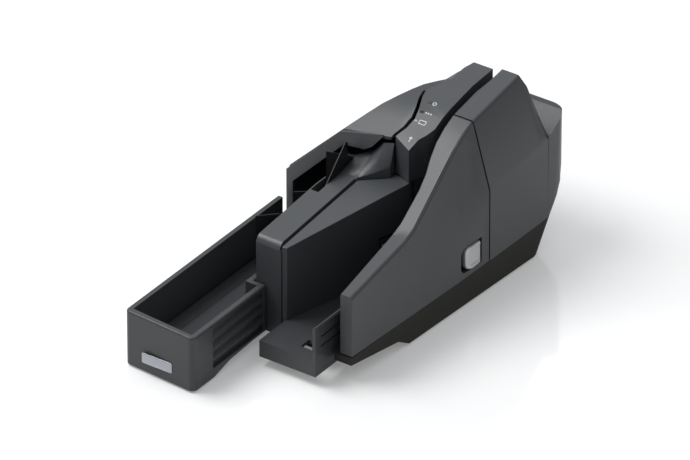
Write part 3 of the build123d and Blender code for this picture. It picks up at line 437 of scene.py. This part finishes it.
def lever_surface():
    """Rings of a rounded rectangle, each at its own scale, depth and shift. Each point goes inwards by
    the front slope times its distance past the front line, and by its distance past the rear line."""
    low = points_of("latch_lever").min(axis=0)
    high = points_of("latch_lever").max(axis=0)
    middle = (low + high) / 2
    half = (high - low) / 2
    exponent = 5
    front_share = 0.29
    front_slope = 0.47
    rear_end = 2.6 * millimetre
    # scale, depth below the outer face in mm, shift towards the rear as a share of half a length
    rings = np.array([
        (0.0001, 5.0, 0.0), (0.9, 5.0, 0.0), (1.0, 4.6, 0.0), (1.0, 0.8, 0.0), (0.985, 0.35, 0.0),
        (0.95, 0.08, 0.0), (0.90, 0.0, 0.0), (0.80, 0.0, 0.02), (0.75, 0.15, 0.06), (0.69, 0.85, 0.10),
        (0.62, 1.15, 0.12), (0.35, 1.30, 0.12), (0.0001, 1.35, 0.12),
    ])
    across, upward = superellipse(exponent)
    scale, depth, shift = rings[:, :1], rings[:, 1:2] * millimetre, rings[:, 2:]
    y = middle[1] + half[1] * (scale * across + shift)
    z = middle[2] + half[2] * scale * upward
    front_line = low[1] + front_share * 2 * half[1]
    rear_line = high[1] - rear_end
    fall = front_slope * np.maximum(0, front_line - y) + np.maximum(0, y - rear_line)
    x = high[0] - depth - fall
    return np.stack([x, y, z], axis=-1).reshape(-1, 3), ring_faces(len(rings), points_around)


lever_points, lever_faces = lever_surface()
lever_piece = add_piece(
    "silver_lever", lever_points, lever_faces, silver_finish, "latch_lever")
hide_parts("latch_lever")
print("lever", len(lever_points), "points")

# %% [markdown]
# ## Bare badge
# The badge on the pocket's front is a thin plate with small rounded corners and a soft front edge. It
# is made of rings as well: superellipses with exponent 14 round the plate's middle, the first and the
# last shrunk to a point. It sits nearer the right and a little higher than the solid plate, and is
# slightly larger.

# %% Badge made of rings
def badge_surface():
    """Four rings of a rounded rectangle, each cut back from the plate's edge and set behind its front
    face by its own amount, between two rings that are shrunk to the middle of the back and the front."""
    low = points_of("blank_badge").min(axis=0)
    high = points_of("blank_badge").max(axis=0)
    exponent = 14
    shift = np.array([4.6, 0.0, 3.4]) * millimetre
    growth = np.array([1.02, 1.0, 1.08])
    middle = (low + high) / 2 + shift
    half = (high - low) / 2 * growth
    thickness = high[1] - low[1]
    # how far each ring is cut back from the edge, and how far it lies behind the front face, in mm
    rings = np.array([(0.0, 0.6), (0.0, 0.15), (0.05, 0.04), (0.16, 0.0)])
    cut = rings[:, :1] * millimetre
    behind = np.minimum(rings[:, 1:] * millimetre, thickness)
    across, upward = superellipse(exponent)
    x = middle[0] + (half[0] - cut) * across
    z = middle[2] + (half[2] - cut) * upward
    y = low[1] + behind * np.ones_like(x)
    back_point = np.broadcast_to([middle[0], y[0, 0], middle[2]], (1, points_around, 3))
    front_point = np.broadcast_to([middle[0], y[-1, 0], middle[2]], (1, points_around, 3))
    points = np.concatenate([back_point, np.stack([x, y, z], axis=-1), front_point]).reshape(-1, 3)
    return points, ring_faces(len(rings) + 2, points_around)


badge_points, badge_faces = badge_surface()
badge_piece = add_piece("bare_badge", badge_points, badge_faces, badge_finish, "casing")
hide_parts("blank_badge")
print("badge", len(badge_points), "points")

# %% [markdown]
# ## Signs beside the lamps
# Small pale signs are printed on the strip: a mains ring, three dots and a sheet outline beside the
# three lamps, and nearer the front an arrow that shows which way the sheets go. They carry no words.
# Each is made of ribbons that follow short paths. A ribbon has half a line width on either side of its
# path and lies a few hundredths of a millimetre above the strip, whose height is looked up under each
# point.

# %% Height of the strip under a point
smallest_area = 1e-12
slack = 1e-6
nothing_there = -1.0


def height_over(name, places):
    """Height of a node's upper skin at plan places: the highest upward triangle that covers each one."""
    mesh = nodes[name].data
    corner_ids = np.empty(len(mesh.polygons) * 3, int)
    mesh.polygons.foreach_get("vertices", corner_ids)
    a, b, c = points_of(name)[corner_ids].reshape(-1, 3, 3).transpose(1, 0, 2)
    area = np.cross(b[:, :2] - a[:, :2], c[:, :2] - a[:, :2])
    keep = area > smallest_area
    a, b, c, area = a[keep], b[keep], c[keep], area[keep]
    away = places[:, None, :] - a[None, :, :2]
    share_c = np.cross((b - a)[None, :, :2], away) / area
    share_b = np.cross(away, (c - a)[None, :, :2]) / area
    inside = (share_b >= -slack) & (share_c >= -slack) & (share_b + share_c <= 1 + slack)
    height = a[:, 2] + share_b * (b - a)[:, 2] + share_c * (c - a)[:, 2]
    return np.where(inside, height, nothing_there).max(axis=1)


# %% Ribbons along paths
sign_finish = grained_plastic("sign_finish", (0.62, 0.64, 0.67), 0.5, depth=0.05)
line_width = 0.55 * millimetre
sign_lift = 0.04 * millimetre


def arc(radius, start, end, count=28):
    """Points on part of a circle; angles in degrees."""
    angle = np.radians(np.linspace(start, end, count))
    return radius * np.stack([np.cos(angle), np.sin(angle)], axis=1)


def straight(start, end, count=6):
    """Evenly spaced points between two plan points."""
    share = np.linspace(0, 1, count)[:, None]
    return np.array(start) * (1 - share) + np.array(end) * share


def ribbon(path):
    """Corners on both sides of a path: the path plus and minus half a line width along its normal."""
    along = np.gradient(path, axis=0)
    along = along / np.linalg.norm(along, axis=1, keepdims=True)
    normal = np.stack([-along[:, 1], along[:, 0]], axis=1)
    half_line = normal * line_width / 2
    corners = np.stack([path + half_line, path - half_line], axis=1).reshape(-1, 2)
    start = np.arange(len(path) - 1)[:, None] * 2
    return corners, start + np.array([0, 1, 3, 2])


def print_sign(name, centre, paths):
    """One sign of several ribbons, draped on the strip."""
    corners, faces, count = [], [], 0
    for path in paths:
        ribbon_corners, ribbon_faces = ribbon(path)
        corners.append(ribbon_corners)
        faces.append(ribbon_faces + count)
        count += len(ribbon_corners)
    places = np.concatenate(corners) + centre
    points = np.column_stack([places, height_over("control_panel", places) + sign_lift])
    return add_piece(name, points, np.concatenate(faces), sign_finish, "casing")


lamp_count = 3
lamp_points = points_of("lamp_windows")
lamp_rows = np.split(np.sort(lamp_points[:, 1]), lamp_count)
lamp_x = lamp_points[:, 0].mean()
lamp_centres = [np.array([lamp_x, row.mean()]) for row in lamp_rows]
corner = [(-2.9, -1.5), (2.9, -1.5), (2.9, 1.5), (-2.9, 1.5), (-2.9, -1.5)]
print_sign("sheet_sign", lamp_centres[0] + np.array([6.0, 0.0]) * millimetre,
           [straight(p, q) * millimetre for p, q in zip(corner, corner[1:])])
print_sign("busy_sign", lamp_centres[1] + np.array([6.0, 0.0]) * millimetre,
           [(arc(0.42, 0, 360) + np.array([dot, 0.0])) * millimetre for dot in (-2.2, 0.0, 2.2)])
print_sign("mains_sign", lamp_centres[2] + np.array([4.6, 0.0]) * millimetre,
           [arc(1.5, 125, 415) * millimetre, straight((0, 0.4), (0, 2.1)) * millimetre])
print_sign("arrow_sign", lamp_centres[0] + np.array([4.8, -15.0]) * millimetre,
           [straight((0, -2.0), (0, 1.9)) * millimetre, straight((-1.3, 0.5), (0, 1.9)) * millimetre,
            straight((1.3, 0.5), (0, 1.9)) * millimetre])
print("four signs printed")
